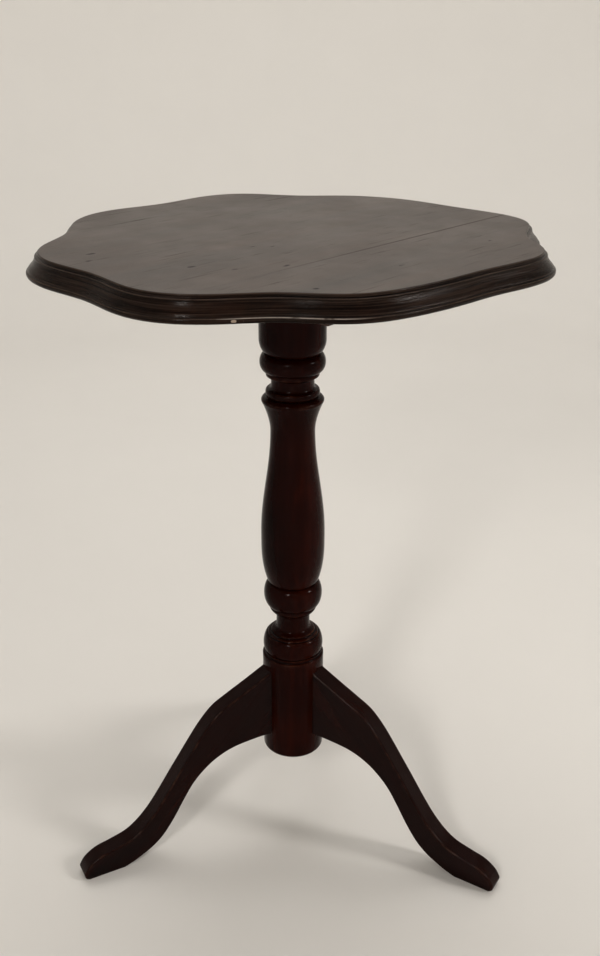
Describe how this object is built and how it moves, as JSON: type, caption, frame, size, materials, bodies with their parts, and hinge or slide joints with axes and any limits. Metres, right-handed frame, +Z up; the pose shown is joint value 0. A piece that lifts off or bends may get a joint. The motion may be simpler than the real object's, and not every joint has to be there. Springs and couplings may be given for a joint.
{
  "type": "tilt top table",
  "caption": "Pedestal table with a lobed, moulded top that tilts upright on a pivot block, on a turned column with S-curved legs.",
  "frame": {"origin": "on the floor, under the middle of the table's bounding box with the top down; the column axis is 10.8 mm from it along +Y", "axes": "+Z up; +X along the pivot axis and the grain of the top; +Y towards the pivot side, where the tilted top stands"},
  "size_m": [0.5217, 0.5306, 0.72],
  "materials": {
    "top_wood": "very dark red-brown mahogany, satin, dulled by fine dust and scratches on the upper face",
    "column_wood": "very dark red-brown mahogany, polished, satin gloss",
    "leg_wood": "very dark red-brown mahogany, satin, worn lighter along the edges",
    "frame_wood": "planed hardwood, unpolished",
    "dowel_wood": "plain pale hardwood",
    "brass": "aged brass, dull",
    "steel": "plain steel, slightly dull"
  },
  "bodies": {
    "base": {"column": "column_wood", "pivot_block": "frame_wood", "pivot_pins": "steel", "tenon_wedge": "dowel_wood", "leg_left": "leg_wood", "leg_front": "leg_wood", "leg_back": "leg_wood", "leg_dowels": "dowel_wood", "strike_plate": "brass", "strike_screws": "brass"},
    "top": {"board_front": "top_wood", "board_centre": "top_wood", "board_back": "top_wood", "seam_dowels": "dowel_wood", "bearer_left": "frame_wood", "bearer_right": "frame_wood", "bearer_screws": "steel", "catch_case": "brass", "catch_spring": "steel", "catch_screws": "brass"},
    "latch": {"catch_bolt": "brass", "catch_knob": "brass"}
  },
  "joints": [
    {"name": "tilt", "type": "hinge", "parent": "base", "child": "top", "pos_m": [0, 0.0658, 0.6823], "axis": [-1, 0, 0], "range_deg": [0, 90]},
    {"name": "catch", "type": "slide", "parent": "top", "child": "latch", "axis": [0, -1, 0], "range_m": [0, 0.009], "stiffness_N_per_m": 200, "springref_m": -0.006, "deforming": ["catch_spring"]}
  ]
}
